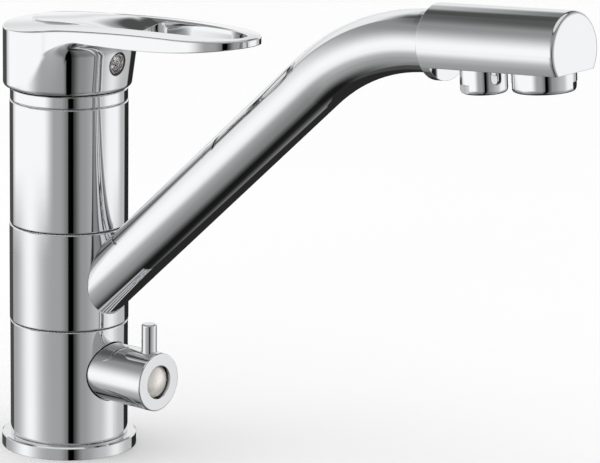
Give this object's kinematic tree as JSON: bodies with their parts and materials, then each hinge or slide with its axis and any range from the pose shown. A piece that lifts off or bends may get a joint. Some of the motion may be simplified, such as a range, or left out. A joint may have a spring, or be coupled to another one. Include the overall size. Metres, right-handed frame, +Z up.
{
  "type": "three way kitchen tap",
  "caption": "Chrome deck mounted kitchen tap with a lever mixer, a swivel spout carrying separate mixed and filtered waterways, and a quarter turn filtered water knob.",
  "frame": {"origin": "on the body's axis, in the plane of the underside that seats on the worktop", "axes": "+X from the body towards the outlets, +Z up along the body, +Y to the left of someone who looks along +X; hot inlet at -Y"},
  "size_m": [0.2761, 0.055, 0.2115],
  "materials": {
    "polished_chrome": "mirror polished chrome plate over brass",
    "brass": "bare machined brass",
    "stainless_steel": "machined stainless steel",
    "black_rubber": "moulded rubber",
    "white_plastic": "moulded acetal",
    "grey_plastic": "glass filled moulded plastic",
    "ceramic_disc": "lapped ceramic",
    "pearl_cap": "warm grey pearl gloss",
    "clear_plug": "pale translucent grey gloss"
  },
  "bodies": {
    "fixed": {"base_ring": "polished_chrome", "deck_gasket": "black_rubber", "main_body": "polished_chrome", "collar_o_rings": "black_rubber", "collar_glide_ring_lower": "white_plastic", "collar_glide_ring_upper": "white_plastic", "upper_body": "polished_chrome", "top_ring": "polished_chrome", "cartridge_nut": "brass", "cartridge_housing": "grey_plastic", "cartridge_seals": "black_rubber", "cartridge_fixed_disc": "ceramic_disc", "filter_valve_body": "brass", "filter_valve_seal": "black_rubber", "filter_disc_fixed": "ceramic_disc", "filter_spindle_o_ring": "black_rubber"},
    "spout": {"spout_collar": "polished_chrome", "spout_tube": "polished_chrome", "filter_tube": "white_plastic", "spout_head": "polished_chrome", "main_aerator_housing": "polished_chrome", "main_aerator_insert": "white_plastic", "main_aerator_washer": "black_rubber", "filter_aerator_housing": "polished_chrome", "filter_aerator_insert": "white_plastic", "filter_aerator_washer": "black_rubber"},
    "filter_handle": {"filter_knob": "polished_chrome", "knob_pin": "polished_chrome", "knob_cap": "pearl_cap", "knob_screw": "stainless_steel", "filter_spindle": "brass", "filter_disc_moving": "ceramic_disc"},
    "rotor": {"cartridge_rotor": "grey_plastic", "pivot_pin": "stainless_steel"},
    "lever": {"cartridge_stem": "brass", "handle": "polished_chrome", "handle_screw": "stainless_steel", "index_plug": "clear_plug"},
    "moving_disc": {"cartridge_moving_disc": "ceramic_disc", "cartridge_carrier": "grey_plastic"}
  },
  "joints": [
    {"name": "spout_swivel", "type": "hinge", "parent": "fixed", "child": "spout", "pos_m": [0, 0, 0.05305], "axis": [0, 0, 1], "continuous": true},
    {"name": "filter_knob_turn", "type": "hinge", "parent": "fixed", "child": "filter_handle", "pos_m": [0.0186, 0, 0.0344], "axis": [1, 0, 0], "range_deg": [0, 90]},
    {"name": "handle_swivel", "type": "hinge", "parent": "fixed", "child": "rotor", "pos_m": [0, 0, 0.1301], "axis": [0, 0, 1], "range_deg": [-45, 45]},
    {"name": "handle_lift", "type": "hinge", "parent": "rotor", "child": "lever", "pos_m": [0, 0, 0.1432], "axis": [0, -1, 0], "range_deg": [0, 25]},
    {"name": "disc_slide", "type": "slide", "parent": "rotor", "child": "moving_disc", "axis": [1, 0, 0], "range_m": [0, 0.00613]}
  ],
  "couplings": [
    {"joint": "disc_slide", "follows": "handle_lift", "m_per_rad": 0.014044}
  ]
}
